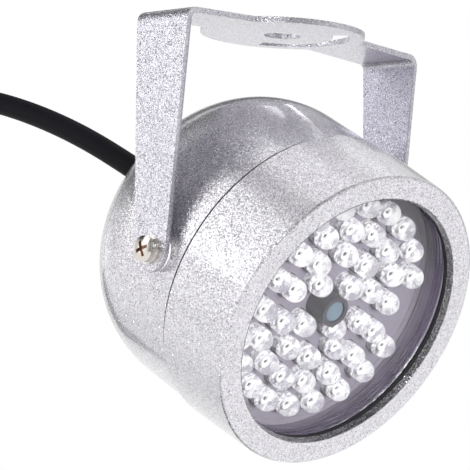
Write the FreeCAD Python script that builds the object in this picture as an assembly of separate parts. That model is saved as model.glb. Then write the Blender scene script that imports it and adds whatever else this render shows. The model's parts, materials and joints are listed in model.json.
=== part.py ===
import FreeCAD, Part
import math
import os
from FreeCAD import Vector

# Infrared illuminator on a U-shaped sheet bracket, in millimetres.
# Origin: centre of the mounting hole, on the bracket plate's top face. +Z is up, out of
# the plate. The lamp faces -Y and down; X runs along the tilt axis.

# Bracket, one folded sheet
sheet_t = 1.2
arm_width = 15.0
leg_end_radius = 4.6
bend_radius = 1.3          # inside of each fold
disc_radius = 17.8
disc_corner_radius = 1.0   # between the disc and each arm
arm_drop = 0.9             # the arms slope down to the folds by this much
arm_flat_half = 15.5       # half length of the flat middle
pivot_drop = 51.0          # from the plate's top face to the tilt axis
mount_hole_radius = 4.0
slot_mid_radius = 12.8
slot_width = 3.8
slot_half_angle = 65.0

# Pose of the lamp: optical axis below the horizontal, in degrees
rest_tilt = 27.5

# Front barrel, lengths along the optical axis from the tilt axis
barrel_wall = 4.3          # at the rear, over the thread's bore
barrel_taper = 0.6         # the front is smaller than the rear by this, in radius
face_z = 26.7
face_edge_round = 0.7
lip_depth = 1.5            # the lip's reach inside the thread's bore
lip_taper = 0.4
lip_t = 1.4
thread_gap = 0.15          # between the bore and the dome's spigot

# Rear dome
barrel_step = 0.6          # the barrel stands proud of the dome by this
dome_shoulder_radius = 22.5
dome_cap_radius = 60.0
dome_end_z = -33.0
dome_wall = 3.0
seam_z = 7.3
seam_gap = 0.3
seam_bevel = 0.35
spigot_wall = 2.5
pad_radius = 4.4
pad_height = 0.6           # flat pad for the pivot, proud of the dome

# Glass and seals
glass_t = 2.0
glass_edge_gap = 0.6
seal_section = 1.5
seal_show = 0.05           # the seal shows this far inside the lip
housing_seal_section = 1.8
seal_squeeze_gap = 0.04    # a seal stands this far off the faces that it seals

# Boards and lamps
plate_front_z = 15.6
plate_t = 1.6
plate_edge_gap = 0.6
board_t = 1.6
board_edge_gap = 0.5
led_radius = 2.5
led_height = 8.6
led_flange_radius = 2.65
led_flange_t = 0.9
led_hole_gap = 0.2
led_tip_z = 21.1
inner_clearance = 0.54      # from the sensor's sleeve to the inner ring's flanges
second_clearance = 0.1      # between the flanges of one ring and the next
third_clearance = 0.45
outer_clearance = 0.35
edge_clearance = 1.2        # from the outer ring's flanges to the spigot's bore

# Light sensor in its sleeve, on the axis
sensor_radius = 2.45
sensor_t = 2.2
sensor_bevel = 0.3
sensor_z = 20.8
sleeve_wall = 0.9
sleeve_gap = 0.06
sleeve_proud = 0.25
sleeve_hole_gap = 0.15
lead_radius = 0.3
lead_pitch = 2.54

# Parts on the back of the board
spacer_flats = 4.0
spacer_bore_radius = 1.05
board_screw_radius = 0.95
board_screw_head_radius = 1.9
board_screw_head_h = 1.3
board_screw_reach = 1.2     # into the spacer, past the board
resistor_radius = 1.15
resistor_length = 6.3
resistor_ring_radius = 17.5
resistor_count = 8
part_seat_gap = 0.1
transistor_radius = 2.3
transistor_height = 4.6
transistor_flat = 1.4       # from its middle to its flat side
transistor_place = (-8.0, 3.0)
capacitor_radius = 3.2
capacitor_height = 8.0
capacitor_place = (6.5, 7.5)

# Tilt pivots
pivot_screw_radius = 1.5
pivot_screw_reach = 6.0    # thread in the dome's wall, past the pad
pivot_running_gap = 0.05
pivot_thread_gap = 0.04
screw_head_radius = 2.75
screw_head_h = 1.9
screw_head_crown = 0.55
screw_crown_mid = (1.7, 1.72)   # a point of the crown: radius, height over the seat
cross_width = 0.75
cross_length = 3.3
cross_depth = 1.1
cross_turn = 20.0
washer_radius = 2.9
washer_t = 0.5
pivot_face_gap = 0.05      # either side of a leg, so that it turns freely
friction_washer_t = 0.55   # between a pad of the dome and the leg

# Cord, its grommet, tie and socket
cord_radius = 2.6
grommet_bore_gap = 0.12
grommet_hole_radius = 4.1
grommet_hole_gap = 0.1
grommet_flange_radius = 5.8
grommet_flange_t = 1.3
grommet_outer_gap = 0.05   # from each flange to the dome's wall
grommet_inner_gap = 0.32
grommet_tail_end_z = -43.5
grommet_tail_radius = 3.45
grommet_root_radius = 4.7
cord_inner_end_z = -23.5
lock_tie_t = 1.2
lock_tie_width = 3.0
lock_tie_gap = 0.3
lock_tie_lug = (4.2, 4.0)  # reach past the cord, width
tie_lug_proud = 0.5        # a lug is wider than its band by this on each side
core_radius = 0.75
core_route = [(1.0, 0, -23.45), (1.0, 0, -17.5), (2.2, -4.5, -9.5), (3.9, -10.5, -2.0)]
cord_route = [(0, 44.6, -27.8), (0, 69.4, -17.0), (0, 95.5, -9.4), (-0.9, 122.0, -5.6),
              (-2.8, 146.0, -12.4), (-4.6, 159.6, -33.4), (-5.3, 163.5, -58.5),
              (-5.4, 163.5, -85.0)]
coil_mid_radius = 28.5
coil_turns = 2
coil_pitch = 5.4
tail_length = 20.5
coil_tie_t = 1.2
coil_tie_width = 4.5
coil_tie_gap = 0.15
coil_tie_lug = (3.6, 4.4)  # reach, width
socket_radius = 5.2
socket_length = 21.0
socket_neck_radius = 3.6
socket_neck_length = 9.0
socket_bore_radius = 2.8
socket_bore_depth = 9.5
socket_pin_radius = 1.0
socket_pin_proud = 8.3
socket_bevel = 0.6
socket_neck_round = 1.0

# Rings of lamps, from the axis outwards
sleeve_radius = sensor_radius + sleeve_gap + sleeve_wall
inner_radius = sleeve_radius + inner_clearance + led_flange_radius
second_radius = inner_radius + second_clearance + 2 * led_flange_radius
third_radius = second_radius + third_clearance + 2 * led_flange_radius
outer_radius = third_radius + outer_clearance + 2 * led_flange_radius
inner_ring = {"radius": inner_radius, "count": 4, "start": 45.7}
second_ring = {"radius": second_radius, "count": 10, "start": 22.6}
third_ring = {"radius": third_radius, "count": 16, "start": 7.9}
outer_ring = {"radius": outer_radius, "count": 18, "start": 2.0, "gap": 41.8}

# Housing round the lamps, and the bracket round the housing
spigot_bore = outer_radius + led_flange_radius + edge_clearance
spigot_radius = spigot_bore + spigot_wall
thread_bore_radius = spigot_radius + thread_gap
opening_radius = thread_bore_radius - lip_depth
barrel_rear_radius = thread_bore_radius + barrel_wall
barrel_front_radius = barrel_rear_radius - barrel_taper
dome_radius = barrel_rear_radius - barrel_step
pad_x = dome_radius + pad_height
leg_inner_x = pad_x + friction_washer_t + pivot_face_gap
leg_x = leg_inner_x + sheet_t
leg_span = 2 * leg_x

# Lengths that follow from the ones above
spigot_end_z = plate_front_z - plate_t
board_front_z = led_tip_z - led_height
board_rear_z = board_front_z - board_t
lip_rear_z = face_z - lip_t
glass_front_z = lip_rear_z - seal_section - 2 * seal_squeeze_gap
glass_radius = thread_bore_radius - glass_edge_gap
plate_radius = thread_bore_radius - plate_edge_gap
seal_inner_radius = opening_radius - lip_taper - seal_show
cord_start = (0, 0, cord_inner_end_z)
coil_half = coil_pitch * coil_turns / 2
coil_centre = Vector(0, cord_route[-1][1] - coil_mid_radius, cord_route[-1][2])


def save(name, shape):
    shape.exportStep("parts/%s.step" % name)


def tilted(shape):
    """Carry a shape from the lamp's frame, +Z along its optical axis, to the part's frame."""
    placed = shape.copy()
    placed.rotate(Vector(), Vector(1, 0, 0), 90 + rest_tilt)
    placed.translate(Vector(0, 0, -pivot_drop))
    return placed


def tilted_point(point):
    turn = FreeCAD.Rotation(Vector(1, 0, 0), 90 + rest_tilt)
    return turn.multVec(Vector(*point)) + Vector(0, 0, -pivot_drop)


def outline(start, steps):
    """Closed face in the XZ plane. A step is a point, or a pair (middle, end) of an arc."""
    edges = []
    here = Vector(start[0], 0, start[1])
    for step in steps + [start]:
        if isinstance(step[0], tuple):
            mid, end = [Vector(p[0], 0, p[1]) for p in step]
            edges.append(Part.Arc(here, mid, end).toShape())
        else:
            end = Vector(step[0], 0, step[1])
            edges.append(Part.LineSegment(here, end).toShape())
        here = end
    return Part.Face(Part.Wire(edges))


def lathe(start, steps):
    return outline(start, steps).revolve(Vector(), Vector(0, 0, 1), 360)


def rod(radius, length, base, direction=Vector(0, 0, 1)):
    return Part.makeCylinder(radius, length, base, direction)


def tube_along(points, radius, name):
    """Round bar along straight runs joined by tangent arcs as large as the runs allow."""
    edges = []
    here = points[0]
    radii = []
    for before, corner, after in zip(points, points[1:], points[2:]):
        back = before - corner
        ahead = after - corner
        half_turn = (math.pi - back.getAngle(ahead)) / 2
        set_back = 0.45 * min(back.Length, ahead.Length)
        radii.append(set_back / math.tan(half_turn))
        back.normalize()
        ahead.normalize()
        enter = corner + back * set_back
        leave = corner + ahead * set_back
        inward = back + ahead
        inward.normalize()
        sagitta = radii[-1] * (1 / math.cos(half_turn) - 1)
        edges.append(Part.LineSegment(here, enter).toShape())
        edges.append(Part.Arc(enter, corner + inward * sagitta, leave).toShape())
        here = leave
    edges.append(Part.LineSegment(here, points[-1]).toShape())
    path = Part.Wire(edges)
    along = points[1] - points[0]
    ring = Part.Wire(Part.makeCircle(radius, points[0], along))
    solid = path.makePipeShell([ring], True, False)
    share = solid.Volume / (math.pi * radius ** 2 * path.Length)
    print(name, "length %.1f" % path.Length, "volume share %.4f" % share,
          "radii", [round(r, 1) for r in radii])
    return solid


def folded_sheet():
    """The sheet's long section, folded down at both ends, as wide as the disc."""
    bottom = -pivot_drop - 2 * leg_end_radius
    depth = 2 * disc_radius + 2

    def prism(x, roof, floor, radius):
        points = [(-x, floor), (-x, roof - arm_drop), (-arm_flat_half, roof),
                  (arm_flat_half, roof), (x, roof - arm_drop), (x, floor)]
        solid = outline(points[0], points[1:]).extrude(Vector(0, depth, 0))
        solid.translate(Vector(0, -depth / 2, 0))
        corners = [e for e in solid.Edges
                   if all(abs(abs(v.X) - x) < 1e-6 and abs(v.Z - roof + arm_drop) < 1e-6
                          for v in e.Vertexes)]
        return solid.makeFillet(radius, corners)

    outer = prism(leg_x, 0, bottom, bend_radius + sheet_t)
    inner = prism(leg_inner_x, -sheet_t, bottom - 1, bend_radius)
    return outer.cut(inner)


def leg_outline():
    """Side view of a leg: tapers from the arm's width to the round end at the pivot."""
    half = arm_width / 2
    top = -arm_drop - bend_radius - sheet_t
    reach = math.hypot(half, top + pivot_drop)
    base = math.atan2(top + pivot_drop, half)
    touch = base - math.acos(leg_end_radius / reach)
    tangent_y = leg_end_radius * math.cos(touch)
    tangent_z = -pivot_drop + leg_end_radius * math.sin(touch)
    lowest = (0, -pivot_drop - leg_end_radius)
    face = outline((-half, 1), [(half, 1), (half, top), (tangent_y, tangent_z),
                                (lowest, (-tangent_y, tangent_z)), (-half, top)])
    face.rotate(Vector(), Vector(0, 0, 1), 90)
    return face


def plate_plan():
    """Plan view of the disc and the arms, with small rounds where they meet."""
    deep = 2 * sheet_t + arm_drop + bend_radius
    disc = rod(disc_radius, deep + 1, Vector(0, 0, -deep))
    arms = Part.makeBox(leg_span, arm_width, deep + 1,
                        Vector(-leg_x, -arm_width / 2, -deep))
    plan = disc.fuse(arms)
    corner_x = math.sqrt(disc_radius ** 2 - (arm_width / 2) ** 2)
    inside = [e for e in plan.Edges if len(e.Vertexes) == 2
              and all(abs(abs(v.X) - corner_x) < 1e-4 for v in e.Vertexes)
              and abs(e.Vertexes[0].Z - e.Vertexes[1].Z) > 1]
    return plan.makeFillet(disc_corner_radius, inside)


def arc_slot():
    low = Vector(0, 0, -2 * sheet_t)
    start = FreeCAD.Rotation(Vector(0, 0, 1), -slot_half_angle)
    wide = Part.makeCylinder(slot_mid_radius + slot_width / 2, 4 * sheet_t, low,
                             Vector(0, 0, 1), 2 * slot_half_angle)
    narrow = rod(slot_mid_radius - slot_width / 2, 4 * sheet_t, low)
    slot = wide.cut(narrow)
    slot.Placement = FreeCAD.Placement(Vector(), start)
    return slot


def mounting_bracket():
    sheet = folded_sheet()
    legs = leg_outline().extrude(Vector(2 * leg_span, 0, 0))
    legs.translate(Vector(-leg_span, 0, 0))
    gap = Part.makeBox(2 * leg_inner_x - 2 * bend_radius, 4 * disc_radius, 2 * pivot_drop,
                       Vector(-leg_inner_x + bend_radius, -2 * disc_radius, -2 * pivot_drop))
    bracket = sheet.common(legs.cut(gap).fuse(plate_plan()))
    bracket = bracket.cut(rod(mount_hole_radius, 4 * sheet_t, Vector(0, 0, -2 * sheet_t)))
    bracket = bracket.cut(arc_slot())
    pivot = rod(pivot_screw_radius + pivot_running_gap, 2 * leg_span,
                Vector(-leg_span, 0, -pivot_drop), Vector(1, 0, 0))
    return bracket.cut(pivot).removeSplitter()


def front_barrel():
    """Turned tube with a lip round the window; its bore carries the thread."""
    rear_z = seam_z + seam_gap
    seal_room = housing_seal_section + 2 * seal_squeeze_gap
    seal_bore = spigot_radius + seal_room
    round_mid = face_edge_round * (1 - math.sqrt(0.5))
    return lathe((thread_bore_radius, lip_rear_z), [
        (opening_radius - lip_taper, lip_rear_z),
        (opening_radius, face_z),
        (barrel_front_radius - face_edge_round, face_z),
        ((barrel_front_radius - round_mid, face_z - round_mid),
         (barrel_front_radius, face_z - face_edge_round)),
        (barrel_rear_radius, rear_z + seam_bevel),
        (barrel_rear_radius - seam_bevel, rear_z),
        (seal_bore, rear_z),
        (seal_bore, seam_z + seal_room),
        (thread_bore_radius, seam_z + seal_room)])


def dome_curve(inset):
    """Centres and tangent point of the dome's shoulder and cap arcs, inset by a wall."""
    cap_z = dome_end_z + dome_cap_radius
    shoulder_r = dome_radius - dome_shoulder_radius
    between = dome_cap_radius - dome_shoulder_radius
    shoulder_z = cap_z - math.sqrt(between ** 2 - shoulder_r ** 2)
    aim = math.atan2(shoulder_z - cap_z, shoulder_r)
    cap = dome_cap_radius - inset
    shoulder = dome_shoulder_radius - inset
    return cap_z, cap, shoulder_r, shoulder_z, shoulder, aim


def on_arc(r, z, radius, angle):
    return (r + radius * math.cos(angle), z + radius * math.sin(angle))


def rear_dome():
    cap_z, cap, s_r, s_z, s, aim = dome_curve(0)
    hole_angle = -math.acos(grommet_hole_radius / cap)
    outer_start = on_arc(0, cap_z, cap, hole_angle)
    outer = [(on_arc(0, cap_z, cap, (hole_angle + aim) / 2), on_arc(0, cap_z, cap, aim)),
             (on_arc(s_r, s_z, s, aim / 2), (dome_radius, s_z)),
             (dome_radius, seam_z - seam_bevel),
             (dome_radius - seam_bevel, seam_z),
             (spigot_radius, seam_z),
             (spigot_radius, spigot_end_z),
             (spigot_bore, spigot_end_z)]
    cap_z, cap, s_r, s_z, s, aim = dome_curve(dome_wall)
    bore_angle = -math.acos((spigot_bore - s_r) / s)
    hole_angle = -math.acos(grommet_hole_radius / cap)
    inner = [on_arc(s_r, s_z, s, bore_angle),
             (on_arc(s_r, s_z, s, (bore_angle + aim) / 2), on_arc(0, cap_z, cap, aim)),
             (on_arc(0, cap_z, cap, (aim + hole_angle) / 2), on_arc(0, cap_z, cap, hole_angle))]
    dome = lathe(outer_start, outer + inner)
    for side in (-1, 1):
        out = Vector(side, 0, 0)
        foot = spigot_bore + 1
        dome = dome.fuse(rod(pad_radius, pad_x - foot, out * foot, out))
        tapped = rod(pivot_screw_radius + pivot_thread_gap, pivot_screw_reach + 0.5,
                     out * (pad_x - pivot_screw_reach - 0.5), out)
        dome = dome.cut(tapped)
    return dome.removeSplitter()


def seal_ring(section, middle_radius, middle_z):
    return Part.makeTorus(middle_radius, section / 2, Vector(0, 0, middle_z), Vector(0, 0, 1))


def ring_places(ring):
    """Centres of one ring of lamps; a ring with gaps is two arcs on opposite sides."""
    gap = ring.get("gap")
    if gap is None:
        angles = [ring["start"] + 360.0 / ring["count"] * i for i in range(ring["count"])]
    else:
        side = ring["count"] // 2
        step = (180.0 - gap) / (side - 1)
        angles = [ring["start"] + half + gap / 2 + step * i
                  for half in (0, 180) for i in range(side)]
    return [Vector(ring["radius"] * math.cos(math.radians(a)),
                   ring["radius"] * math.sin(math.radians(a)), 0) for a in angles]


def led():
    """Clear 5 mm lamp: flange, round body and dome, standing on the board."""
    shoulder_z = led_tip_z - led_radius
    dome_mid = led_radius * math.sqrt(0.5)
    flange_top = board_front_z + led_flange_t
    return lathe((0, board_front_z), [
        (led_flange_radius, board_front_z),
        (led_flange_radius, flange_top),
        (led_radius, flange_top),
        (led_radius, shoulder_z),
        ((dome_mid, shoulder_z + dome_mid), (0, led_tip_z))])


def led_ring(ring):
    lamps = []
    for place in ring_places(ring):
        lamp = led()
        lamp.translate(place)
        lamps.append(lamp)
    return Part.makeCompound(lamps)


def led_plate():
    """Dark plate that the lamps look out of; it closes the mouth of the dome."""
    plate = rod(plate_radius, plate_t, Vector(0, 0, plate_front_z - plate_t))
    holes = [rod(sleeve_radius + sleeve_hole_gap, 3 * plate_t,
                 Vector(0, 0, plate_front_z - 2 * plate_t))]
    for ring in (inner_ring, second_ring, third_ring, outer_ring):
        for place in ring_places(ring):
            holes.append(rod(led_radius + led_hole_gap, 3 * plate_t,
                             place + Vector(0, 0, plate_front_z - 2 * plate_t)))
    return plate.cut(Part.makeCompound(holes))


def spacer_places():
    angles = [math.radians(outer_ring["start"] + turn) for turn in (0, 180)]
    return [Vector(math.cos(a), math.sin(a), 0) * outer_ring["radius"] for a in angles]


def led_board():
    radius = spigot_bore - board_edge_gap
    board = rod(radius, board_t, Vector(0, 0, board_rear_z))
    for place in spacer_places():
        board = board.cut(rod(spacer_bore_radius, 3 * board_t,
                              place + Vector(0, 0, board_rear_z - board_t)))
    return board


def board_spacers():
    height = spigot_end_z - board_front_z
    corner = spacer_flats / math.sqrt(3)
    spacers = []
    for place in spacer_places():
        hexagon = [Vector(corner * math.cos(math.radians(60 * i)),
                          corner * math.sin(math.radians(60 * i)), 0) for i in range(7)]
        spacer = Part.Face(Part.makePolygon(hexagon)).extrude(Vector(0, 0, height))
        spacer = spacer.cut(rod(spacer_bore_radius, height, Vector()))
        spacer.translate(place + Vector(0, 0, board_front_z))
        spacers.append(spacer)
    return Part.makeCompound(spacers)


def board_screws():
    screws = []
    length = board_t + board_screw_reach
    for place in spacer_places():
        head = rod(board_screw_head_radius, board_screw_head_h,
                   place + Vector(0, 0, board_rear_z - board_screw_head_h))
        shank = rod(board_screw_radius, length, place + Vector(0, 0, board_rear_z))
        screws.append(head.fuse(shank))
    return Part.makeCompound(screws)


def light_sensor():
    """Photocell: a small round cell on two leads that stand on the board."""
    cell = lathe((0, sensor_z - sensor_t), [
        (sensor_radius, sensor_z - sensor_t),
        (sensor_radius, sensor_z - sensor_bevel),
        (sensor_radius - sensor_bevel, sensor_z),
        (0, sensor_z)])
    for side in (-1, 1):
        foot = Vector(side * lead_pitch / 2, 0, board_front_z)
        cell = cell.fuse(rod(lead_radius, sensor_z - sensor_t - board_front_z + 0.2, foot))
    return cell


def sensor_sleeve():
    height = sensor_z + sleeve_proud - board_front_z
    foot = Vector(0, 0, board_front_z)
    sleeve = rod(sleeve_radius, height, foot)
    return sleeve.cut(rod(sensor_radius + sleeve_gap, height, foot))


def ballast_resistors():
    resistors = []
    drop = board_rear_z - resistor_radius - part_seat_gap
    for i in range(resistor_count):
        turn = math.radians(360.0 / resistor_count * (i + 0.5))
        middle = Vector(math.cos(turn), math.sin(turn), 0) * resistor_ring_radius
        along = Vector(-math.sin(turn), math.cos(turn), 0)
        start = middle - along * (resistor_length / 2) + Vector(0, 0, drop)
        resistors.append(rod(resistor_radius, resistor_length, start, along))
    return Part.makeCompound(resistors)


def switch_transistor():
    top = board_rear_z - part_seat_gap
    x, y = transistor_place
    body = rod(transistor_radius, transistor_height, Vector(x, y, top - transistor_height))
    flat = Part.makeBox(4 * transistor_radius, transistor_radius, 2 * transistor_height,
                        Vector(x - 2 * transistor_radius, y + transistor_flat,
                               top - 1.5 * transistor_height))
    return body.cut(flat)


def smoothing_capacitor():
    x, y = capacitor_place
    foot = Vector(x, y, board_rear_z - part_seat_gap - capacitor_height)
    return rod(capacitor_radius, capacitor_height, foot)


def front_glass():
    return rod(glass_radius, glass_t, Vector(0, 0, glass_front_z - glass_t))


def cross_recess(top):
    depth = Vector(0, 0, top - cross_depth)
    blades = []
    for turn in (0, 90):
        blade = Part.makeBox(cross_length, cross_width, 2 * cross_depth,
                             Vector(-cross_length / 2, -cross_width / 2, 0))
        blade.rotate(Vector(), Vector(0, 0, 1), turn + cross_turn)
        blade.translate(depth)
        blades.append(blade)
    return blades[0].fuse(blades[1])


def pan_screw():
    """Pan head up, along +Z, with its seat at z = 0."""
    side_h = screw_head_h - screw_head_crown
    crown = (screw_crown_mid, (0, screw_head_h))
    head_x = pad_x - pivot_screw_reach
    shank = leg_x + pivot_face_gap + washer_t - head_x
    screw = lathe((0, -shank), [(pivot_screw_radius, -shank), (pivot_screw_radius, 0),
                                (screw_head_radius, 0), (screw_head_radius, side_h), crown])
    return screw.cut(cross_recess(screw_head_h))


def ring_washer(outer, thickness):
    washer = rod(outer, thickness, Vector())
    return washer.cut(rod(pivot_screw_radius + 2 * pivot_running_gap, thickness, Vector()))


def at_pivot(shape, side, distance):
    """Stand a part made along +Z on the tilt axis, facing out of one leg."""
    placed = shape.copy()
    placed.rotate(Vector(), Vector(0, 1, 0), 90 * side)
    placed.translate(Vector(side * distance, 0, -pivot_drop))
    return placed


def cord_grommet():
    """Rubber grommet: a flange each side of the dome's wall and a tapered tail."""
    bore = cord_radius + grommet_bore_gap
    neck = grommet_hole_radius - grommet_hole_gap
    outer_z = dome_end_z - grommet_outer_gap
    inner_z = dome_end_z + dome_wall + grommet_inner_gap
    return lathe((bore, grommet_tail_end_z), [
        (grommet_tail_radius, grommet_tail_end_z),
        (grommet_root_radius, outer_z - grommet_flange_t),
        (grommet_flange_radius, outer_z - grommet_flange_t),
        (grommet_flange_radius, outer_z),
        (neck, outer_z),
        (neck, inner_z),
        (grommet_flange_radius, inner_z),
        (grommet_flange_radius, inner_z + grommet_flange_t),
        (bore, inner_z + grommet_flange_t)])


def cord_lock_tie():
    """Band pulled tight round the cord inside the dome, so that it can't be pulled out."""
    flange_z = dome_end_z + dome_wall + grommet_inner_gap + grommet_flange_t
    low = flange_z + lock_tie_gap
    radius = cord_radius + grommet_bore_gap
    reach, width = lock_tie_lug
    band = rod(radius + lock_tie_t, lock_tie_width, Vector(0, 0, low))
    lug = Part.makeBox(radius + reach, width, lock_tie_width + 2 * tie_lug_proud,
                       Vector(0, -width / 2, low))
    return band.fuse(lug).cut(rod(radius, 4 * lock_tie_width, Vector(0, 0, low - lock_tie_width)))


def supply_core(side):
    """One insulated core, from the cord's inner end to the board."""
    points = [Vector(side * x, y, z) for x, y, z in core_route]
    foot = Vector(points[-1].x, points[-1].y, board_rear_z)
    return tube_along(points + [foot], core_radius, "supply core")


def cord_points():
    return [tilted_point(cord_start)] + [Vector(*p) for p in cord_route]


def cord_coil():
    """Outer shape of the turns: a flat-sided ring about X."""
    inner = coil_mid_radius - cord_radius
    outer = coil_mid_radius + cord_radius
    ring = lathe((inner, -coil_half), [
        ((coil_mid_radius, -coil_half - cord_radius), (outer, -coil_half)),
        (outer, coil_half),
        ((coil_mid_radius, coil_half + cord_radius), (inner, coil_half))])
    ring.rotate(Vector(), Vector(0, 1, 0), 90)
    ring.translate(coil_centre)
    return ring


def coil_tie():
    """Band round the turns, on the coil's side nearest the lamp."""
    half = coil_half + cord_radius + coil_tie_gap
    inner = coil_mid_radius - cord_radius - coil_tie_gap
    outer = coil_mid_radius + cord_radius + coil_tie_gap
    wide = Part.makeBox(2 * (half + coil_tie_t), outer - inner + 2 * coil_tie_t, coil_tie_width,
                        Vector(-half - coil_tie_t, -outer - coil_tie_t, -coil_tie_width / 2))
    room = Part.makeBox(2 * half, outer - inner, 2 * coil_tie_width,
                        Vector(-half, -outer, -coil_tie_width))
    reach, width = coil_tie_lug
    lug = Part.makeBox(reach, width, coil_tie_width + 2 * tie_lug_proud,
                       Vector(-half - coil_tie_t - reach, -coil_mid_radius - width / 2,
                              -coil_tie_width / 2 - tie_lug_proud))
    tie = wide.fuse(lug).cut(room)
    tie.translate(coil_centre)
    return tie


def tail_start():
    return Vector(coil_half, cord_route[-1][1], cord_route[-1][2])


def cord_tail():
    return rod(cord_radius, tail_length, tail_start() - Vector(0, 0, tail_length))


def dc_socket():
    """Round inline socket: tapered neck, grip body and the bore that the plug enters."""
    neck_end = -socket_neck_length
    end = neck_end - socket_length
    body = lathe((0, 0), [
        (socket_neck_radius, 0),
        (socket_radius - socket_bevel, neck_end + socket_neck_round),
        (socket_radius, neck_end),
        (socket_radius, end + socket_bevel),
        (socket_radius - socket_bevel, end),
        (socket_bore_radius, end),
        (socket_bore_radius, end + socket_bore_depth),
        (0, end + socket_bore_depth)])
    body.translate(tail_start() - Vector(0, 0, tail_length))
    return body


def socket_pin():
    end = -socket_neck_length - socket_length + socket_bore_depth
    pin = rod(socket_pin_radius, socket_pin_proud, Vector(0, 0, end - socket_pin_proud))
    pin.translate(tail_start() - Vector(0, 0, tail_length))
    return pin


def main():
    os.makedirs("parts", exist_ok=True)
    save("mounting_bracket", mounting_bracket())
    save("front_barrel", tilted(front_barrel()))
    save("rear_dome", tilted(rear_dome()))
    save("front_glass", tilted(front_glass()))
    glass_seal = seal_ring(seal_section, seal_inner_radius + seal_section / 2,
                           lip_rear_z - seal_squeeze_gap - seal_section / 2)
    save("glass_seal", tilted(glass_seal))
    housing_middle = housing_seal_section / 2 + seal_squeeze_gap
    housing_seal = seal_ring(housing_seal_section, spigot_radius + housing_middle,
                             seam_z + housing_middle)
    save("housing_seal", tilted(housing_seal))
    save("led_plate", tilted(led_plate()))
    save("led_board", tilted(led_board()))
    save("leds_inner", tilted(led_ring(inner_ring)))
    save("leds_second", tilted(led_ring(second_ring)))
    save("leds_third", tilted(led_ring(third_ring)))
    save("leds_outer", tilted(led_ring(outer_ring)))
    save("light_sensor", tilted(light_sensor()))
    save("sensor_sleeve", tilted(sensor_sleeve()))
    save("board_spacers", tilted(board_spacers()))
    save("board_screws", tilted(board_screws()))
    save("ballast_resistors", tilted(ballast_resistors()))
    save("switch_transistor", tilted(switch_transistor()))
    save("smoothing_capacitor", tilted(smoothing_capacitor()))
    for name, side in (("left", -1), ("right", 1)):
        outer_face = leg_x + pivot_face_gap
        save("pivot_screw_" + name, at_pivot(pan_screw(), side, outer_face + washer_t))
        save("pivot_washer_" + name,
             at_pivot(ring_washer(washer_radius, washer_t), side, outer_face))
        save("friction_washer_" + name,
             at_pivot(ring_washer(pad_radius, friction_washer_t), side, pad_x))
    save("cord_grommet", tilted(cord_grommet()))
    save("cord_lock_tie", tilted(cord_lock_tie()))
    save("supply_core_positive", tilted(supply_core(1)))
    save("supply_core_negative", tilted(supply_core(-1)))
    save("power_cord", tube_along(cord_points(), cord_radius, "power cord"))
    save("cord_coil", cord_coil())
    save("coil_tie", coil_tie())
    save("cord_tail", cord_tail())
    save("dc_socket", dc_socket())
    save("socket_pin", socket_pin())


main()
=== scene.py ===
import json
import math
import bpy
import numpy as np
from mathutils import Euler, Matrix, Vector


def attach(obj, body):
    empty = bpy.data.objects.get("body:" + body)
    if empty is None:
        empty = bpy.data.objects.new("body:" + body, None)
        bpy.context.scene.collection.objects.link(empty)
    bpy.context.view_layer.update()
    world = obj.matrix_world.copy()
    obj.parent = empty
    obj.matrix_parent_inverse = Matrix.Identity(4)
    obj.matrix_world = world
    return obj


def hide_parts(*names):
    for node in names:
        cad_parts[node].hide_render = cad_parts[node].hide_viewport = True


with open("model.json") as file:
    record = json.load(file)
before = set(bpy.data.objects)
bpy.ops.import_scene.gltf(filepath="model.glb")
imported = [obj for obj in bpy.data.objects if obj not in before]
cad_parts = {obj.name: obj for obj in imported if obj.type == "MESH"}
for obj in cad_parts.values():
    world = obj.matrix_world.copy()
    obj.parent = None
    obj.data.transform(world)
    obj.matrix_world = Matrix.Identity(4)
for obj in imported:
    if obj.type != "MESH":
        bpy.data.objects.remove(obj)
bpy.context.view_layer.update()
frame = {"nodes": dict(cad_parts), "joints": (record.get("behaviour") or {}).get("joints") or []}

mm = 0.001
crisp = math.radians(38)  # edges that turn more than this are shaded sharp
onAxis = 1e-9  # a profile end with a smaller radius is a pole


# The lamp's own frame: z runs along its optical axis from the tilt axis
lamp = {"tilt": 27.5, "pivot": frame["joints"][0]["pos_m"]}
lampTurn = math.radians(90 + lamp["tilt"])


def lampToPart(points):  # turns about X by 90 degrees plus the tilt, then moves to the pivot
    x, y, z = points[..., 0], points[..., 1], points[..., 2]
    cosine, sine = math.cos(lampTurn), math.sin(lampTurn)
    turned = np.stack([x, y * cosine - z * sine, y * sine + z * cosine], -1)
    return turned + np.array(lamp["pivot"])


def asMesh(name, points, faces, material):  # a smooth piece that rides with the lamp
    mesh = bpy.data.meshes.new(name)
    mesh.from_pydata(points.tolist(), [], faces)
    mesh.validate()
    mesh.materials.append(material)
    mesh.polygons.foreach_set("use_smooth", np.ones(len(mesh.polygons), bool))
    mesh.set_sharp_from_angle(angle=crisp)
    piece = bpy.data.objects.new(name, mesh)
    bpy.context.scene.collection.objects.link(piece)
    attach(piece, "lamp_head")
    return piece


def carriedRound(r, h, steps):
    # Rows of radii and heights carried round z: point = (r cos a, r sin a, h)
    angle = np.linspace(0, 2 * math.pi, steps, endpoint=False)
    return np.stack([r * np.cos(angle), r * np.sin(angle), h * np.ones(steps)], -1)


def gridQuads(rows, steps, closed):
    # Faces between each row and the next, all round; a closed grid joins its last row to its first
    i, j = np.meshgrid(np.arange(rows if closed else rows - 1), np.arange(steps), indexing="ij")
    nextI, nextJ = (i + 1) % rows, (j + 1) % steps
    corners = [i * steps + j, i * steps + nextJ, nextI * steps + nextJ, nextI * steps + j]
    return np.stack(corners, -1).reshape(-1, 4)


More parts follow.
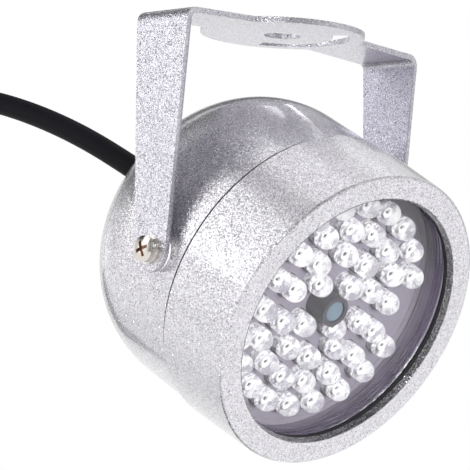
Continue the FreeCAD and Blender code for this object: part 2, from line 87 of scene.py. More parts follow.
def turnedForm(profile, steps):
    # A profile of (radius, height) carried round z. An end on the axis is one point;
    # with neither end on the axis, the profile's last point joins its first.
    r, h = np.array(profile, float).T
    poleStart, poleEnd = r[0] < onAxis, r[-1] < onAxis
    ringR = r[int(poleStart):len(r) - int(poleEnd)]
    ringH = h[int(poleStart):len(h) - int(poleEnd)]
    points = carriedRound(ringR[:, None], ringH[:, None], steps).reshape(-1, 3)
    faces = gridQuads(len(ringR), steps, not (poleStart or poleEnd)).tolist()
    if poleStart:
        points = np.vstack([points, [0, 0, h[0]]])
        faces += [[len(points) - 1, (k + 1) % steps, k] for k in range(steps)]
    if poleEnd:
        last = (len(ringR) - 1) * steps
        points = np.vstack([points, [0, 0, h[-1]]])
        faces += [[len(points) - 1, last + k, last + (k + 1) % steps] for k in range(steps)]
    return points, faces


def repeated(form, places):  # the same form at each place, as one set of points and faces
    points, faces = form
    every = (points[None] + places[:, None]).reshape(-1, 3)
    starts = [n * len(points) for n in range(len(places))]
    return every, [[v + start for v in face] for start in starts for face in faces]


# Node helpers for the materials

def newMaterial(name, **values):
    material = bpy.data.materials.new(name)
    material.use_nodes = True
    shader = material.node_tree.nodes["Principled BSDF"]
    for socket, value in values.items():
        shader.inputs[socket.replace("_", " ")].default_value = value
    return material


def addNode(tree, kind, inputs=None, **settings):  # a node with its settings, values or links made
    node = tree.nodes.new(kind)
    for key, value in settings.items():
        setattr(node, key, value)
    for key, value in (inputs or {}).items():
        if isinstance(value, bpy.types.NodeSocket):
            tree.links.new(value, node.inputs[key])
        else:
            node.inputs[key].default_value = value
    return node


def linkAll(tree, node, sockets):
    for label, socket in sockets.items():
        tree.links.new(socket, node.inputs[label])


def maths(tree, operation, *values):  # the result of a Math node
    return addNode(tree, "ShaderNodeMath", dict(enumerate(values)), operation=operation).outputs[0]


def vectorMaths(tree, operation, *values):  # the same for vectors; a length or product is a number
    node = addNode(tree, "ShaderNodeVectorMath", dict(enumerate(values)), operation=operation)
    isNumber = operation in ("DOT_PRODUCT", "DISTANCE", "LENGTH")
    return node.outputs["Value" if isNumber else "Vector"]


def mixed(tree, share, first, second, kind="RGBA"):
    return addNode(tree, "ShaderNodeMix", {"Factor": share, "A": first, "B": second},
                   data_type=kind).outputs["Result"]


def ranged(tree, value, start, end, toStart=0.0, toEnd=1.0, curve="LINEAR"):
    return addNode(tree, "ShaderNodeMapRange", {"Value": value, "From Min": start, "From Max": end,
                   "To Min": toStart, "To Max": toEnd}, interpolation_type=curve).outputs[0]


def mixedShader(tree, share, first, second):
    return addNode(tree, "ShaderNodeMixShader", {0: share, 1: first, 2: second}).outputs[0]


def anyRay(tree, *kinds):  # 1 for rays of these kinds and 0 for others
    path = addNode(tree, "ShaderNodeLightPath")
    share = path.outputs[kinds[0]]
    for kind in kinds[1:]:
        share = maths(tree, "MAXIMUM", share, path.outputs[kind])
    return share


def objectCoordinates(material):
    return addNode(material.node_tree, "ShaderNodeTexCoord").outputs["Object"]


def newGroup(name, takes, gives):  # takes and gives hold each socket's name and kind
    group = bpy.data.node_groups.new(name, "ShaderNodeTree")
    for sockets, way in ((takes, "INPUT"), (gives, "OUTPUT")):
        for label, kind in sockets.items():
            group.interface.new_socket(label, in_out=way, socket_type="NodeSocket" + kind)
    return group, group.nodes.new("NodeGroupInput"), group.nodes.new("NodeGroupOutput")


# Silver paint: most flakes lie nearly flat, and each has its own gloss between two levels
flakeLeanPower = 2.0
flakeRoughness = (0.2, 0.42)


def makeFlakeGroup():
    # Metallic flakes in paint: each small cell has its own lean, its own grey and its own gloss.
    # normal = face normal + lean * random ^ power * (random vector - half),
    # colour = mix from dark to light by random ^ bias
    group, given, result = newGroup(
        "flakes", {"Vector": "Vector", "Cells": "Float", "Lean": "Float", "Dark": "Color",
                   "Light": "Color", "Bias": "Float"},
        {"Color": "Color", "Normal": "Vector", "Roughness": "Float"})
    cells = addNode(group, "ShaderNodeTexVoronoi", {"Vector": given.outputs["Vector"],
                    "Scale": given.outputs["Cells"], "Randomness": 1.0}, feature="F1")
    random = addNode(group, "ShaderNodeSeparateColor", {"Color": cells.outputs["Color"]}).outputs
    half = vectorMaths(group, "SUBTRACT", cells.outputs["Color"], (0.5, 0.5, 0.5))
    rare = maths(group, "POWER", random["Blue"], flakeLeanPower)
    share = maths(group, "MULTIPLY", given.outputs["Lean"], rare)
    lean = addNode(group, "ShaderNodeVectorMath", {0: half, "Scale": share}, operation="SCALE")
    face = addNode(group, "ShaderNodeNewGeometry").outputs["Normal"]
    leaning = vectorMaths(group, "ADD", face, lean.outputs[0])
    grey = maths(group, "POWER", random["Red"], given.outputs["Bias"])
    linkAll(group, result, {
        "Color": mixed(group, grey, given.outputs["Dark"], given.outputs["Light"]),
        "Normal": vectorMaths(group, "NORMALIZE", leaning),
        "Roughness": ranged(group, random["Green"], 0.0, 1.0, *flakeRoughness)})
    return group


flakeGroup = makeFlakeGroup()


def flakePaint(name, look):
    # The look itself or, where the mask from look["where"] is 1, look["inner"]
    material = newMaterial(name, Metallic=look["metallic"], Coat_Weight=look["coat"],
                           Coat_Roughness=look["coatRoughness"])
    tree = material.node_tree
    place = objectCoordinates(material)
    mask = look["where"](tree, place)
    flakes = addNode(tree, "ShaderNodeGroup", node_tree=flakeGroup)
    flakes.inputs["Cells"].default_value = look["cells"]
    tree.links.new(place, flakes.inputs["Vector"])
    kinds = {"Dark": "RGBA", "Light": "RGBA", "Lean": "FLOAT", "Bias": "FLOAT"}
    for socket, kind in kinds.items():
        key = socket.lower()
        chosen = mixed(tree, mask, look[key], look["inner"][key], kind)
        tree.links.new(chosen, flakes.inputs[socket])
    linkAll(tree, tree.nodes["Principled BSDF"], {
        "Base Color": flakes.outputs["Color"], "Normal": flakes.outputs["Normal"],
        "Roughness": flakes.outputs["Roughness"]})
    return material


def bothAre(tree, first, second):  # 1 where both masks are 1
    return maths(tree, "MULTIPLY", first, second)


def sideYZ(tree, place):  # the distance from the middle plane, and the other two coordinates
    parts = addNode(tree, "ShaderNodeSeparateXYZ", {"Vector": place}).outputs
    return maths(tree, "ABSOLUTE", parts["X"]), parts["Y"], parts["Z"]


bracketInside = {"side": 35.2 * mm, "height": -3.0 * mm}


def bracketShadeSide(tree, place):  # the faces towards the lamp, by their distance from the middle, where the paint is darkened as painted shade
    side, _, height = sideYZ(tree, place)
    return bothAre(tree, maths(tree, "LESS_THAN", side, bracketInside["side"]),
                   maths(tree, "LESS_THAN", height, bracketInside["height"]))


lipWall = {"radius": 28.6 * mm, "height": 24.0 * mm}


def onLipWall(tree, place):  # the short wall of the opening, in front of the glass
    turned = addNode(tree, "ShaderNodeMapping", {"Vector": place, "Location": lamp["pivot"],
                     "Rotation": (lampTurn, 0, 0)}, vector_type="TEXTURE")
    parts = addNode(tree, "ShaderNodeSeparateXYZ", {"Vector": turned.outputs[0]}).outputs
    flat = addNode(tree, "ShaderNodeCombineXYZ", {"X": parts["X"], "Y": parts["Y"]})
    radius = vectorMaths(tree, "LENGTH", flat.outputs[0])
    return bothAre(tree, maths(tree, "LESS_THAN", radius, lipWall["radius"]),
                   maths(tree, "GREATER_THAN", parts["Z"], lipWall["height"]))


housingLook = {"metallic": 0.94, "coat": 1.0, "coatRoughness": 0.1, "cells": 6200,
               "lean": 2.4, "bias": 0.19, "dark": (0.0, 0.0, 0.01, 1),
               "light": (0.965, 0.945, 1.0, 1), "where": onLipWall,
               "inner": {"dark": (0.01, 0.01, 0.012, 1), "light": (0.7, 0.69, 0.72, 1),
                         "lean": 2.0, "bias": 1.6}}
bracketLook = {**housingLook, "coat": 0.6, "coatRoughness": 0.12, "lean": 1.7,
               "light": (0.83, 0.81, 0.88, 1), "where": bracketShadeSide,
               # inner: darker paint on the faces towards the lamp, painted shade
               "inner": {"dark": (0.28, 0.265, 0.33, 1), "light": (0.53, 0.51, 0.6, 1),
                         "lean": 0.8, "bias": 0.5}}
housingPaint = flakePaint("silverHousingPaint", housingLook)
bracketPaint = flakePaint("silverBracketPaint", bracketLook)


# Plain stuff: what a look leaves out, it takes from plainLook
plainLook = {"spread": 0.5, "grainScale": 3000, "bump": 0.1, "bumpDepth": 0.0001, "fixed": {}}
looks = {
    "plate": {"dark": (0.22, 0.2, 0.25, 1), "light": (0.27, 0.245, 0.305, 1), "toneScale": 120,
              "roughness": (0.45, 0.6), "grainScale": 5000, "bump": 0.15},
    "bore": {"dark": (0.33, 0.3, 0.37, 1), "light": (0.48, 0.445, 0.53, 1), "toneScale": 200,
             "roughness": (0.12, 0.22), "fixed": {"Metallic": 0.9}},
    "rubber": {"dark": (0.008, 0.008, 0.009, 1), "light": (0.016, 0.015, 0.018, 1),
               "toneScale": 300, "roughness": (0.5, 0.7), "grainScale": 4000, "bump": 0.2},
    "jacket": {"dark": (0.005, 0.0045, 0.007, 1), "light": (0.011, 0.01, 0.014, 1),
               "toneScale": 90, "roughness": (0.5, 0.62), "grainScale": 2500, "bump": 0.25,
               "bumpDepth": 0.0002, "fixed": {"Specular_IOR_Level": 0.08}},
    "sleeve": {"dark": (0.045, 0.042, 0.055, 1), "light": (0.07, 0.065, 0.085, 1),
               "toneScale": 300, "roughness": (0.45, 0.55), "grainScale": 4000},
    "cell": {"dark": (0.09, 0.14, 0.19, 1), "light": (0.16, 0.23, 0.29, 1), "toneScale": 500,
             "roughness": (0.12, 0.2), "grainScale": 2500, "bump": 0.05,
             "fixed": {"Coat_Weight": 0.6, "Coat_Roughness": 0.06}},
    "nickel": {"dark": (0.66, 0.62, 0.56, 1), "light": (0.86, 0.82, 0.77, 1), "toneScale": 800,
               "roughness": (0.1, 0.2), "grainScale": 6000, "fixed": {"Metallic": 1.0}},
    "board": {"dark": (0.01, 0.06, 0.02, 1), "light": (0.02, 0.1, 0.035, 1), "toneScale": 150,
              "roughness": (0.35, 0.5)},
    "nylon": {"dark": (0.55, 0.54, 0.5, 1), "light": (0.65, 0.64, 0.6, 1), "toneScale": 200,
              "roughness": (0.4, 0.5)},
    "brass": {"dark": (0.55, 0.4, 0.16, 1), "light": (0.68, 0.52, 0.24, 1), "toneScale": 400,
              "roughness": (0.25, 0.38), "grainScale": 4000, "fixed": {"Metallic": 1.0}},
    "resistor": {"dark": (0.35, 0.26, 0.16, 1), "light": (0.45, 0.35, 0.23, 1),
                 "toneScale": 500, "roughness": (0.4, 0.5)},
    "coreRed": {"dark": (0.4, 0.02, 0.02, 1), "light": (0.5, 0.035, 0.03, 1), "toneScale": 300,
                "roughness": (0.4, 0.5)},
    # a pale base whose blotches of white and grey are painted glints, seen through the lens
    "paleBaseGlints": {"dark": (0.34, 0.32, 0.39, 1), "light": (1.0, 1.0, 1.0, 1), "toneScale": 1500,
              "spread": 0.1, "roughness": (0.2, 0.35), "grainScale": 4000},
    "leads": {"dark": (0.96, 0.96, 0.97, 1), "light": (1.0, 1.0, 1.0, 1), "toneScale": 900,
              "roughness": (0.15, 0.25), "grainScale": 6000},
}


def noisyMaterial(name, look):
    # A soft change of tone and gloss and a fine bump, all from noise in object space
    look = {**plainLook, **look}
    material = newMaterial(name, **look["fixed"])
    tree = material.node_tree
    place = objectCoordinates(material)
    tone = addNode(tree, "ShaderNodeTexNoise", {"Vector": place, "Scale": look["toneScale"],
                   "Detail": 4.0}).outputs["Fac"]
    share = ranged(tree, tone, 0.5 - look["spread"], 0.5 + look["spread"])
    grain = addNode(tree, "ShaderNodeTexNoise", {"Vector": place, "Scale": look["grainScale"],
                    "Detail": 2.0}).outputs["Fac"]
    bump = addNode(tree, "ShaderNodeBump", {"Height": grain, "Strength": look["bump"],
                   "Distance": look["bumpDepth"]})
    linkAll(tree, tree.nodes["Principled BSDF"], {
        "Base Color": mixed(tree, share, look["dark"], look["light"]),
        "Roughness": ranged(tree, tone, 0.0, 1.0, *look["roughness"]),
        "Normal": bump.outputs["Normal"]})
    return material


made = {name: noisyMaterial(name + "Finish", look) for name, look in looks.items()}

# Painted shade, brown, in the screws' crosses: close to the tilt axis, and nearer to the middle
# plane than the crown of the screw's head is
crossShade = {"axisRadius": 1.9 * mm, "side": 38.16 * mm, "colour": (0.5, 0.37, 0.3, 1)}


def inCross(tree, place):
    side, y, z = sideYZ(tree, place)
    flat = addNode(tree, "ShaderNodeCombineXYZ", {"Y": y, "Z": z}).outputs[0]
    away = vectorMaths(tree, "DISTANCE", flat, (0, lamp["pivot"][1], lamp["pivot"][2]))
    return bothAre(tree, maths(tree, "LESS_THAN", away, crossShade["axisRadius"]),
                   maths(tree, "LESS_THAN", side, crossShade["side"]))


def makeScrewHead():  # nickel, with painted shade, brown, down in its cross
    material = noisyMaterial("screwHeadWithCrossShade", looks["nickel"])
    tree = material.node_tree
    base = tree.nodes["Principled BSDF"].inputs["Base Color"]
    # painted shade: the cross's recess is mixed towards brown
    mask = inCross(tree, objectCoordinates(material))
    tree.links.new(mixed(tree, mask, base.links[0].from_socket, crossShade["colour"]), base)
    return material


def letShadowsThrough(material):
    # Light reaches what is behind clear glass: for shadow rays it is plain transparent
    tree = material.node_tree
    clear = addNode(tree, "ShaderNodeBsdfTransparent").outputs[0]
    seen = mixedShader(tree, anyRay(tree, "Is Shadow Ray"),
                       tree.nodes["Principled BSDF"].outputs[0], clear)
    tree.links.new(seen, tree.nodes["Material Output"].inputs["Surface"])
    return material


epoxyWaves = {"scale": 1300, "strength": 0.35, "depth": 0.00025}


def makeEpoxy():  # clear resin whose moulded skin has soft waves, from noise in object space
    material = newMaterial("clearEpoxy", Roughness=0.0, IOR=1.5,
                           Base_Color=(0.97, 0.97, 0.99, 1), Transmission_Weight=0.9)
    tree = material.node_tree
    waves = addNode(tree, "ShaderNodeTexNoise", {"Vector": objectCoordinates(material),
                    "Scale": epoxyWaves["scale"], "Detail": 2.0})
    bump = addNode(tree, "ShaderNodeBump", {"Height": waves.outputs["Fac"],
                   "Strength": epoxyWaves["strength"], "Distance": epoxyWaves["depth"]})
    tree.links.new(bump.outputs["Normal"], tree.nodes["Principled BSDF"].inputs["Normal"])
    return letShadowsThrough(material)


screwHead = makeScrewHead()
windowGlass = letShadowsThrough(newMaterial("windowGlass", Roughness=0.0, IOR=1.45,
                                            Transmission_Weight=1.0))
clearEpoxy = makeEpoxy()
print("materials made")


def dress(material, *nodes):  # the CAD node keeps its mesh and takes this material
    for name in nodes:
        mesh = frame["nodes"][name].data
        mesh.materials.clear()
        mesh.materials.append(material)


dress(bracketPaint, "mounting_bracket")
dress(housingPaint, "front_barrel", "rear_dome")
dress(windowGlass, "front_glass")
dress(made["rubber"], "glass_seal", "housing_seal", "cord_grommet", "dc_socket",
      "supply_core_negative", "switch_transistor", "cord_lock_tie")
dress(made["plate"], "led_plate")
dress(made["board"], "led_board")
dress(made["cell"], "light_sensor")
dress(made["sleeve"], "sensor_sleeve")
dress(screwHead, "pivot_screw_left", "pivot_screw_right")
dress(made["nickel"], "board_screws", "socket_pin", "pivot_washer_left", "pivot_washer_right",
      "smoothing_capacitor")
dress(made["nylon"], "friction_washer_left", "friction_washer_right")
dress(made["brass"], "board_spacers")
dress(made["resistor"], "ballast_resistors")
dress(made["coreRed"], "supply_core_positive")
print("frame dressed")


# Cord: out of the grommet, over the back, down, and wound into a coil.
cordSizes = {"radius": 2.6 * mm, "innerEnd": -23.5 * mm, "exit": -43.5 * mm, "coilRadius": 28.5,
             "turns": 2, "pitch": 5.4, "perTurn": 16, "tail": 20.5, "length": 0.587}
cordRoute = [(0, 44.6, -27.8), (0, 69.4, -17.0), (0, 95.5, -9.4), (-0.9, 122.0, -5.6),
             (-2.8, 146.0, -12.4), (-4.6, 159.6, -33.4), (-5.3, 163.5, -58.5),
             (-5.4, 163.5, -85.0)]


def cordLine():
    # A coil point is the coil's middle + R * swell * (cos a, -sin a), moved on by the pitch,
    # with swell = (cos of half a step) ^ -1/2, because the line runs inside its control points
    start = lampToPart(np.array([0, 0, cordSizes["innerEnd"]])) / mm
    points = [tuple(start)] + cordRoute
    x0, y0, z0 = cordRoute[-1]
    radius, perTurn = cordSizes["coilRadius"], cordSizes["perTurn"]
    swell = 1 / math.cos(math.pi / perTurn) ** 0.5
    for k in range(1, cordSizes["turns"] * perTurn + 1):
        angle = 2 * math.pi * k / perTurn
        points.append((x0 + cordSizes["pitch"] * k / perTurn,
                       y0 - radius + radius * swell * math.cos(angle),
                       z0 - radius * swell * math.sin(angle)))
    lastX = points[-1][0]
    points.append((lastX, y0, z0 - cordSizes["tail"] / 2))
    points.append((lastX, y0, z0 - cordSizes["tail"]))
    return np.array(points) * mm


# Tie that holds the coil's two turns side by side, all measured from the middle of the turns
coilBand = {"middle": (0, 106.77, -85.0), "apart": 2.7, "inner": 2.75, "outer": 3.55, "half": 2.1,
            "around": 48, "head": {"middle": (-8.0, 0, 0), "size": (1.9, 1.8, 2.6)},
            "end": {"middle": (-8.2, 3.6, 0), "size": (0.55, 3.2, 1.5)},
            "corner": 0.3, "ballRows": 13, "ballAround": 24}


def pillowForm(middle, size):  # a ball with each coordinate raised to a small power, sign kept
    b = np.linspace(-math.pi / 2, math.pi / 2, coilBand["ballRows"])
    profile = np.stack([np.cos(b), np.sin(b)], -1)
    profile[[0, -1], 0] = 0
    points, faces = turnedForm(profile, coilBand["ballAround"])
    swollen = np.sign(points) * np.abs(points) ** coilBand["corner"]
    return swollen * np.array(size) + np.array(middle), faces


def makeCoilBand():  # a rectangle carried round an oval, with the tie's head and cut end
    low, high = -coilBand["half"], coilBand["half"]
    inner, outer = coilBand["inner"], coilBand["outer"]
    points, faces = turnedForm([(inner, low), (outer, low), (outer, high), (inner, high)],
                               coilBand["around"])
    points[:, 0] += coilBand["apart"] * np.sign(points[:, 0])
    for key in ("head", "end"):
        more, moreFaces = pillowForm(**coilBand[key])
        faces = faces + [[v + len(points) for v in face] for face in moreFaces]
        points = np.vstack([points, more])
    band = asMesh("coilBand", (points + np.array(coilBand["middle"])) * mm, faces, made["rubber"])
    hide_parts("coil_tie")
    return band


def makeCord():
    points = cordLine()
    curve = bpy.data.curves.new("cordLead", "CURVE")
    curve.dimensions = "3D"
    spline = curve.splines.new("NURBS")
    spline.points.add(len(points) - 1)
    spline.points.foreach_set("co", np.c_[points, np.ones(len(points))].ravel())
    spline.order_u = 3
    spline.use_endpoint_u = True
    spline.resolution_u = 12
    curve.bevel_depth = cordSizes["radius"]
    curve.bevel_resolution = 5
    curve.use_fill_caps = True
    curve.materials.append(made["jacket"])
    cord = bpy.data.objects.new("cordLead", curve)
    bpy.context.scene.collection.objects.link(cord)
    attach(cord, "lamp_head")
    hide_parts("power_cord", "cord_coil", "cord_tail")
    band = makeCoilBand()


makeCord()
print("cord made")


# Clear 5 mm lamps: a lens, a post whose cup holds the chip, and a pale base with painted glints,
# in four rings.
# Depths are measured down from the cup's top, and each foot up from the foot of the lens.
led = {"radius": 2.5, "flangeRadius": 2.65, "flange": 0.9, "tip": 21.1, "height": 8.6,
       "ballRows": 10, "around": 28}
cup = {"radius": 0.42, "floor": 0.36, "depth": 0.3, "top": 18.2, "postRadius": 0.8,
       "postDepth": 1.3, "neckRadius": 0.3, "neckDepth": 2.2, "foot": 0.5, "around": 20}
base = {"radius": 2.44, "top": 17.35, "crownRadius": 1.2, "crown": 0.3, "foot": 0.2, "around": 24}
chip = {"radius": 0.27, "topRadius": 0.24, "height": 0.2, "around": 8}
ledRings = {"inner": {"radius": 6.6, "count": 4, "start": 45.7},
            "second": {"radius": 12.0, "count": 10, "start": 22.6},
            "third": {"radius": 17.75, "count": 16, "start": 7.9},
            "outer": {"radius": 23.4, "count": 18, "start": 2.0, "gap": 41.8}}
ledFoot = led["tip"] - led["height"]


def ringPlaces(ring):  # centres on a circle; a ring with a gap is two arcs on opposite sides
    if "gap" in ring:
        perSide = ring["count"] // 2
        step = (180 - ring["gap"]) / (perSide - 1)
        angles = np.array([ring["start"] + half + ring["gap"] / 2 + step * i
                           for half in (0, 180) for i in range(perSide)])
    else:
        angles = ring["start"] + 360 / ring["count"] * np.arange(ring["count"])
    angles = np.radians(angles)
    return np.stack([ring["radius"] * np.cos(angles), ring["radius"] * np.sin(angles),
                     0 * angles], -1)


def lensForm():  # flange, straight side and a half ball: r = R cos b, h = shoulder + R sin b
    radius, flangeTop = led["radius"], ledFoot + led["flange"]
    b = np.linspace(0, math.pi / 2, led["ballRows"])
    ball = np.stack([radius * np.cos(b), led["tip"] - radius + radius * np.sin(b)], -1)
    profile = [(0, ledFoot), (led["flangeRadius"], ledFoot), (led["flangeRadius"], flangeTop),
               (radius, flangeTop), *ball]
    return turnedForm(profile, led["around"])


def cupForm():  # a thin neck, then a post with a shallow cup in its top
    foot, top, floor = ledFoot + cup["foot"], cup["top"], cup["top"] - cup["depth"]
    profile = [(0, foot), (cup["neckRadius"], foot), (cup["neckRadius"], top - cup["neckDepth"]),
               (cup["postRadius"], top - cup["postDepth"]), (cup["postRadius"], top),
               (cup["radius"], top), (cup["floor"], floor), (0, floor)]
    return turnedForm(profile, cup["around"])


def baseForm():  # the pale filler at the bottom of each lamp, with a low crown; its white and grey blotches are painted glints seen through the lens
    foot, top, crown = ledFoot + base["foot"], base["top"], base["top"] + base["crown"]
    profile = [(0, foot), (base["radius"], foot), (base["radius"], top),
               (base["crownRadius"], crown), (0, crown)]
    return turnedForm(profile, base["around"])


def chipForm():  # a small block on the cup's floor
    low = cup["top"] - cup["depth"]
    top = low + chip["height"]
    profile = [(0, low), (chip["radius"], low), (chip["topRadius"], top), (0, top)]
    return turnedForm(profile, chip["around"])


def makeLamps():
    forms = {"lenses": (lensForm(), clearEpoxy, "led_epoxy"),
             "cups": (cupForm(), made["leads"], "contact_metal"),
             "bases": (baseForm(), made["paleBaseGlints"], "led_epoxy"),
             "chips": (chipForm(), made["rubber"], "sensor_face")}
    for ringName, ring in ledRings.items():
        for kind, (form, material, slot) in forms.items():
            points, faces = repeated(form, ringPlaces(ring))
            piece = asMesh(kind + ringName.capitalize(), lampToPart(points * mm), faces,
                           material)
            if kind == "lenses":
                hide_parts("leds_" + ringName)


makeLamps()
print("lamps made")


# Thread in the barrel's bore, between the plate and the glass
thread = {"low": 15.75, "high": 21.6, "pitch": 0.95, "crest": 29.72, "root": 29.8,
          "wall": 29.88, "steep": 1.3, "flat": 0.15, "perTurn": 144, "perPitch": 10}


def makeThread():
    # r = crest + (root - crest) * wave, wave = steep * |2 s - 1| - flat, kept from 0 to 1,
    # with s the share of a pitch: (h - low) / pitch - the share of a turn
    low, high, steps = thread["low"], thread["high"], thread["perTurn"]
    rows = int((high - low) / thread["pitch"] * thread["perPitch"])
    h = np.linspace(low, high, rows)[:, None]
    share = ((h - low) / thread["pitch"] - np.arange(steps) / steps) % 1
    wave = np.clip(np.abs(2 * share - 1) * thread["steep"] - thread["flat"], 0, 1)
    inner = carriedRound(thread["crest"] + (thread["root"] - thread["crest"]) * wave, h, steps)
    outer = carriedRound(np.full((2, 1), thread["wall"]), np.array([[high], [low]]), steps)
    grid = np.concatenate([inner, outer])
    inwards = gridQuads(len(grid), steps, True)[:, [0, 3, 2, 1]]
    asMesh("barrelThread", lampToPart(grid.reshape(-1, 3) * mm), inwards.tolist(), made["bore"])


# Thin rings: one closes the plate's edge, one is the seal's lip that shows in the seam
rings = {"plateRing": {"inner": 28.3, "outer": 29.72, "low": 15.62, "high": 15.78, "around": 128,
                       "look": "plate", "slot": "plate_dark"},
         "seamLip": {"inner": 33.3, "outer": 33.64, "low": 7.09, "high": 7.2, "around": 128,
                     "look": "rubber", "slot": "seal_rubber"}}


def makeRings():  # each a rectangle carried round the lamp's axis
    for name, ring in rings.items():
        inner, outer, low, high = ring["inner"], ring["outer"], ring["low"], ring["high"]
        points, faces = turnedForm([(inner, low), (outer, low), (outer, high), (inner, high)],
                                   ring["around"])
        asMesh(name, lampToPart(points * mm), faces, made[ring["look"]])


makeThread()
makeRings()
print("thread and rings made")


# Studio: a pale floor that fades to white, soft lights, and for gloss a dim surrounding with
# brighter fields at the azimuths and elevations where the paint shows them, in degrees.
# shade is the near and far distance and the level near by, for the floor as gloss sees it.
studio = {"floorZ": -0.255, "floorHalf": 2.0, "floor": (0.8, 0.8, 0.8, 1), "floorGlow": 0.45,
          "diffuseWorld": 0.45, "middle": (0, 0.145, -0.255), "shade": (0.088, 0.205, 0.1),
          "fade": (0.35, 0.9)}
sky = {"level": 0.03, "soft": 0.3, "fields": [
    {"azimuth": 10, "elevation": 6, "halfWidth": 58, "halfHeight": 17, "level": 0.25},
    {"azimuth": 50, "elevation": 30, "halfWidth": 45, "halfHeight": 42, "level": 0.5},
    {"azimuth": -70, "elevation": 20, "halfWidth": 30, "halfHeight": 35, "level": 0.35},
    {"azimuth": -125, "elevation": 5, "halfWidth": 22, "halfHeight": 22, "level": 1.1},
    {"azimuth": -125, "elevation": 65, "halfWidth": 25, "halfHeight": 14, "level": 0.45},
    {"azimuth": -165, "elevation": 0, "halfWidth": 28, "halfHeight": 22, "level": 0.75},
    {"azimuth": 150, "elevation": 0, "halfWidth": 30, "halfHeight": 22, "level": 0.8},
    {"azimuth": 108, "elevation": 30, "halfWidth": 16, "halfHeight": 25, "level": 0.7},
    {"azimuth": 108, "elevation": 62, "halfWidth": 25, "halfHeight": 16, "level": 0.55},
    {"azimuth": 180, "elevation": 84, "halfWidth": 14, "halfHeight": 14, "level": 1.3},
    {"azimuth": 157, "elevation": 39, "halfWidth": 12, "halfHeight": 4, "level": 1.0}]}
ovalShare = 0.785  # of its box
lights = [
    {"name": "leftBox", "azimuth": -120, "elevation": 34, "away": 0.9, "size": (0.36, 0.8),
     "glow": 2.2, "mirrored": True, "through": True},
    {"name": "rightBox", "azimuth": 126, "elevation": 53, "away": 0.9, "size": (0.08, 0.18),
     "glow": 1.8, "mirrored": True, "through": True},
    {"name": "rightStrip", "azimuth": 123.5, "elevation": 42, "away": 0.9, "size": (0.045, 0.12),
     "glow": 4.2, "mirrored": True, "through": True},
    {"name": "frontBox", "azimuth": -12, "elevation": -2, "away": 0.95, "size": (0.5, 0.5),
     "glow": 26.0, "mirrored": False, "through": False},
    {"name": "glintLeft", "azimuth": -62, "elevation": 22, "away": 0.95, "size": (0.09, 0.09),
     "glow": 60.0, "mirrored": True, "through": False},
    {"name": "glintRight", "azimuth": 24, "elevation": -22, "away": 0.95, "size": (0.09, 0.09),
     "glow": 60.0, "mirrored": True, "through": False},
]


def compass(azimuth, elevation):  # azimuth 0 is -Y, the lamp's front, and 90 is +X
    a, e = math.radians(azimuth), math.radians(elevation)
    return Vector((math.sin(a) * math.cos(e), -math.cos(a) * math.cos(e), math.sin(e)))


def glow(tree, strength):
    return addNode(tree, "ShaderNodeEmission", {"Strength": strength}).outputs[0]


def floorMaterial():
    # The camera sees the lit floor with a veil, white far away, and through it from below.
    # Gloss and glass see plain white, which for gloss is dim near the lamp's rear.
    material = newMaterial("paleFloor", Roughness=0.8, Base_Color=studio["floor"],
                           Specular_IOR_Level=0.0)
    tree = material.node_tree
    lit = tree.nodes["Principled BSDF"].outputs[0]
    apart = vectorMaths(tree, "DISTANCE", objectCoordinates(material), studio["middle"])
    near, far, dim = studio["shade"]
    shaded = ranged(tree, apart, near, far, dim, 1.0, "SMOOTHSTEP")
    white = glow(tree, maths(tree, "MAXIMUM", shaded, anyRay(tree, "Is Transmission Ray")))
    veiled = addNode(tree, "ShaderNodeAddShader", {0: lit, 1: glow(tree, studio["floorGlow"])})
    faded = ranged(tree, apart, *studio["fade"], 0.0, 1.0, "SMOOTHSTEP")
    fromAbove = mixedShader(tree, faded, veiled.outputs[0], glow(tree, 1.0))
    backfacing = addNode(tree, "ShaderNodeNewGeometry").outputs["Backfacing"]
    clear = addNode(tree, "ShaderNodeBsdfTransparent").outputs[0]
    shown = mixedShader(tree, anyRay(tree, "Is Camera Ray"), lit,
                        mixedShader(tree, backfacing, fromAbove, clear))
    surface = mixedShader(tree, anyRay(tree, "Is Glossy Ray", "Is Transmission Ray"), shown, white)
    tree.links.new(surface, tree.nodes["Material Output"].inputs["Surface"])
    return material


def makeFloor():
    half, low = studio["floorHalf"], studio["floorZ"]
    mesh = bpy.data.meshes.new("floor")
    mesh.from_pydata([(-half, -half, low), (half, -half, low), (half, half, low),
                      (-half, half, low)], [], [(0, 1, 2, 3)])
    floor = bpy.data.objects.new("floor", mesh)
    bpy.context.scene.collection.objects.link(floor)
    mesh.materials.append(floorMaterial())


def makeLights():  # each stands away from the tilt axis and faces it; power = glow * pi * area
    middle = Vector(lamp["pivot"])
    for light in lights:
        data = bpy.data.lights.new(light["name"], "AREA")
        data.shape = "ELLIPSE"
        data.size, data.size_y = light["size"]
        data.energy = light["glow"] * math.pi * data.size * data.size_y * ovalShare
        box = bpy.data.objects.new(light["name"], data)
        bpy.context.scene.collection.objects.link(box)
        toward = compass(light["azimuth"], light["elevation"])
        box.location = middle + toward * light["away"]
        box.rotation_euler = toward.to_track_quat("Z", "Y").to_euler()
        box.visible_glossy = light["mirrored"]
        box.visible_transmission = light["through"]
        box.visible_camera = False


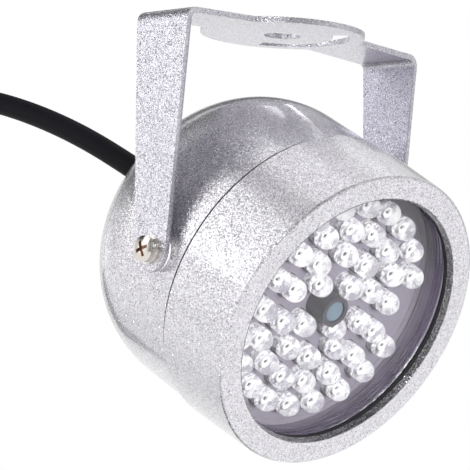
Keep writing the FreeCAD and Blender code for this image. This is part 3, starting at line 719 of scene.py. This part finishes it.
def makeFieldGroup():
    # An ellipse in the sky round the direction Middle: u = direction . Right, v = direction . Up,
    # mask = 1 inside u^2 + v^2 = 1, falling to 0 over the soft edge, and 0 behind
    group, given, result = newGroup(
        "skyField", {"Direction": "Vector", "Middle": "Vector", "Right": "Vector",
                     "Up": "Vector", "Soft": "Float"}, {"Mask": "Float"})
    ahead, u, v = [vectorMaths(group, "DOT_PRODUCT", given.outputs["Direction"],
                              given.outputs[side]) for side in ("Middle", "Right", "Up")]
    flat = addNode(group, "ShaderNodeCombineXYZ", {"X": u, "Y": v}).outputs[0]
    away = vectorMaths(group, "LENGTH", flat)
    start = maths(group, "SUBTRACT", 1.0, given.outputs["Soft"])
    end = maths(group, "ADD", 1.0, given.outputs["Soft"])
    inside = ranged(group, away, start, end, 1.0, 0.0, "SMOOTHSTEP")
    mask = maths(group, "MULTIPLY", inside, maths(group, "GREATER_THAN", ahead, 0.0))
    group.links.new(mask, result.inputs["Mask"])
    return group


def makeWorld():  # level = sky level + the sum of mask * level over the fields
    world = bpy.data.worlds.new("studioWorld")
    bpy.context.scene.world = world
    world.use_nodes = True
    world.cycles.sampling_method = "NONE"  # each kind of ray then sees its own level
    tree = world.node_tree
    direction = addNode(tree, "ShaderNodeTexCoord").outputs["Generated"]
    fieldGroup = makeFieldGroup()
    level = sky["level"]
    for field in sky["fields"]:
        a, e = field["azimuth"], field["elevation"]
        mask = addNode(tree, "ShaderNodeGroup", node_tree=fieldGroup)
        tree.links.new(direction, mask.inputs["Direction"])
        mask.inputs["Middle"].default_value = compass(a, e)
        mask.inputs["Right"].default_value = (compass(a + 90, 0)
                                              / math.sin(math.radians(field["halfWidth"])))
        mask.inputs["Up"].default_value = (compass(a, e + 90)
                                           / math.sin(math.radians(field["halfHeight"])))
        mask.inputs["Soft"].default_value = sky["soft"]
        level = maths(tree, "MULTIPLY_ADD", mask.outputs["Mask"], field["level"], level)
    shown = mixed(tree, anyRay(tree, "Is Camera Ray", "Is Transmission Ray"), level, 1.0, "FLOAT")
    direct = anyRay(tree, "Is Camera Ray", "Is Glossy Ray", "Is Transmission Ray")
    strength = mixed(tree, direct, studio["diffuseWorld"], shown, "FLOAT")
    back = tree.nodes["Background"]
    back.inputs["Color"].default_value = (1, 1, 1, 1)
    tree.links.new(strength, back.inputs["Strength"])


makeFloor()
makeLights()
makeWorld()

# Camera fitted to the photograph
view = {"place": (-0.41897, -0.40370, -0.09575), "turn": (95.007, -2.991, -45.541),
        "lens": 208.4, "sensor": 36.0, "clip": (0.01, 20)}


def makeCamera():
    data = bpy.data.cameras.new("camera")
    data.lens = view["lens"]
    data.sensor_width = view["sensor"]
    data.clip_start, data.clip_end = view["clip"]
    camera = bpy.data.objects.new("camera", data)
    camera.location = view["place"]
    camera.rotation_euler = Euler([math.radians(v) for v in view["turn"]], "XYZ")
    bpy.context.scene.collection.objects.link(camera)
    bpy.context.scene.camera = camera


makeCamera()
bpy.context.scene.view_settings.view_transform = "Standard"
print("studio made")
